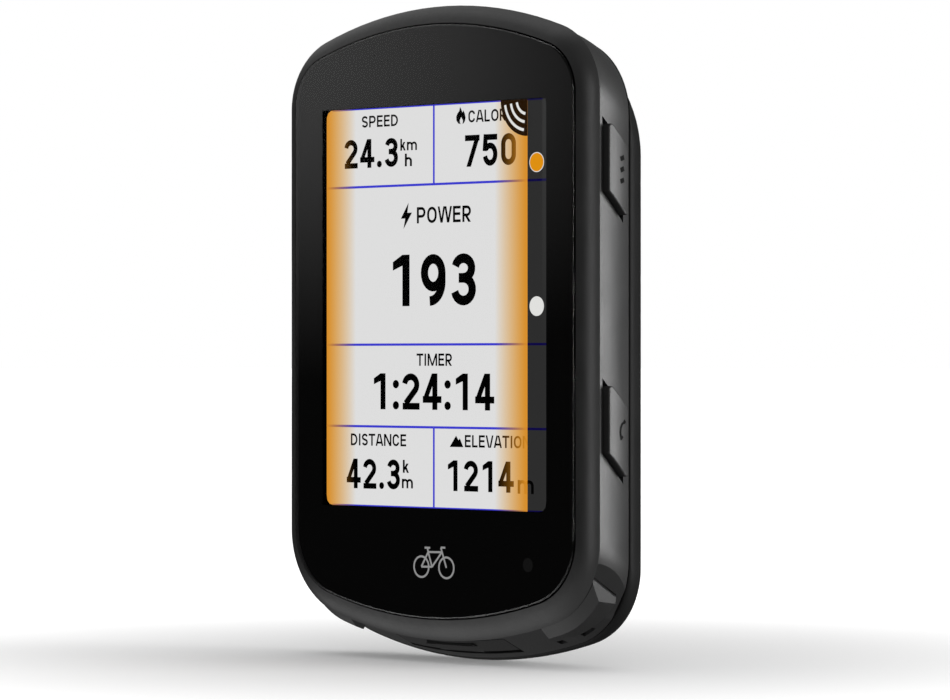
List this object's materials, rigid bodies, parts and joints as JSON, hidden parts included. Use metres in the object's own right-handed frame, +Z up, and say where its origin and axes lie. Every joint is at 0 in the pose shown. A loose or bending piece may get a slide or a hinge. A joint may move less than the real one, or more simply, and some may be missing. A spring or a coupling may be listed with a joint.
{
  "type": "cycling computer",
  "caption": "Handlebar cycling computer: black case round a colour display, side and corner keys, quarter-turn mount behind and a weather cap over the charging port.",
  "frame": {"origin": "centre of the flat end face of the quarter-turn mount, on the back of the case", "axes": "+X to the rider's right, +Y out of the back of the case along the mount's axis, +Z up along the display"},
  "size_m": [0.0578, 0.0196, 0.0854],
  "materials": {
    "lens_glass": "clear toughened glass with a black border",
    "black_adhesive": "foam tape",
    "solar_film": "thin solar cell film",
    "display_glass": "transflective display",
    "thin_metal": "satin sheet",
    "flex_film": "polyimide film",
    "housing_plastic": "fine moulded texture",
    "cover_plastic": "fine moulded texture",
    "mount_plastic": "glass-filled plastic",
    "key_plastic": "soft-touch",
    "seal_rubber": "silicone",
    "cap_rubber": "silicone, satin",
    "steel": "plain",
    "switch_metal": "stamped",
    "board_laminate": "solder mask",
    "chip_plastic": "moulded package",
    "antenna_ceramic": "fired",
    "battery_pouch": "laminated foil",
    "brass_disc": "plain",
    "membrane": "vent membrane"
  },
  "bodies": {
    "housing": {"front_lens": "lens_glass", "lens_adhesive": "black_adhesive", "solar_film_left": "solar_film", "solar_film_right": "solar_film", "display_panel": "display_glass", "backlight_unit": "display_glass", "display_frame": "thin_metal", "display_flex": "flex_film", "ambient_light_sensor": "chip_plastic", "front_housing": "housing_plastic", "housing_seal": "seal_rubber", "rear_cover": "cover_plastic", "cover_screws": "steel", "quarter_turn_mount": "mount_plastic", "mount_screws": "steel", "vent_membrane": "membrane", "usb_receptacle": "steel", "usb_gasket": "seal_rubber", "main_board": "board_laminate", "board_screws": "steel", "processor_shield": "thin_metal", "radio_shield": "thin_metal", "board_chips": "chip_plastic", "gnss_antenna": "antenna_ceramic", "radio_antenna": "flex_film", "battery": "battery_pouch", "battery_tape": "black_adhesive", "battery_lead": "flex_film", "buzzer": "brass_disc", "pressure_sensor": "thin_metal", "tact_switches": "switch_metal", "key_seals": "seal_rubber"},
    "power_button": {"power_key": "key_plastic", "power_key_clip": "steel"},
    "up_button": {"up_key": "key_plastic", "up_key_clip": "steel"},
    "down_button": {"down_key": "key_plastic", "down_key_clip": "steel"},
    "menu_button": {"menu_key": "key_plastic", "menu_key_clip": "steel"},
    "back_button": {"back_key": "key_plastic", "back_key_clip": "steel"},
    "lap_button": {"lap_key": "key_plastic", "lap_key_clip": "steel"},
    "start_button": {"start_key": "key_plastic", "start_key_clip": "steel"},
    "cap": {"weather_cap": "cap_rubber"}
  },
  "joints": [
    {"name": "power_press", "type": "slide", "parent": "housing", "child": "power_button", "axis": [1, 0, 0], "range_m": [0, 0.0004], "stiffness_N_per_m": 1500, "springref_m": -0.0001},
    {"name": "up_press", "type": "slide", "parent": "housing", "child": "up_button", "axis": [1, 0, 0], "range_m": [0, 0.0004], "stiffness_N_per_m": 1500, "springref_m": -0.0001},
    {"name": "down_press", "type": "slide", "parent": "housing", "child": "down_button", "axis": [1, 0, 0], "range_m": [0, 0.0004], "stiffness_N_per_m": 1500, "springref_m": -0.0001},
    {"name": "menu_press", "type": "slide", "parent": "housing", "child": "menu_button", "axis": [-1, 0, 0], "range_m": [0, 0.0004], "stiffness_N_per_m": 1500, "springref_m": -0.0001},
    {"name": "back_press", "type": "slide", "parent": "housing", "child": "back_button", "axis": [-1, 0, 0], "range_m": [0, 0.0004], "stiffness_N_per_m": 1500, "springref_m": -0.0001},
    {"name": "lap_press", "type": "slide", "parent": "housing", "child": "lap_button", "axis": [0.585, 0, 0.8111], "range_m": [0, 0.0004], "stiffness_N_per_m": 1500, "springref_m": -0.0001},
    {"name": "start_press", "type": "slide", "parent": "housing", "child": "start_button", "axis": [-0.585, 0, 0.8111], "range_m": [0, 0.0004], "stiffness_N_per_m": 1500, "springref_m": -0.0001},
    {"name": "cap_hinge", "type": "hinge", "parent": "housing", "child": "cap", "pos_m": [0, -0.01314, -0.0408], "axis": [1, 0, 0], "range_deg": [0, 90]}
  ]
}
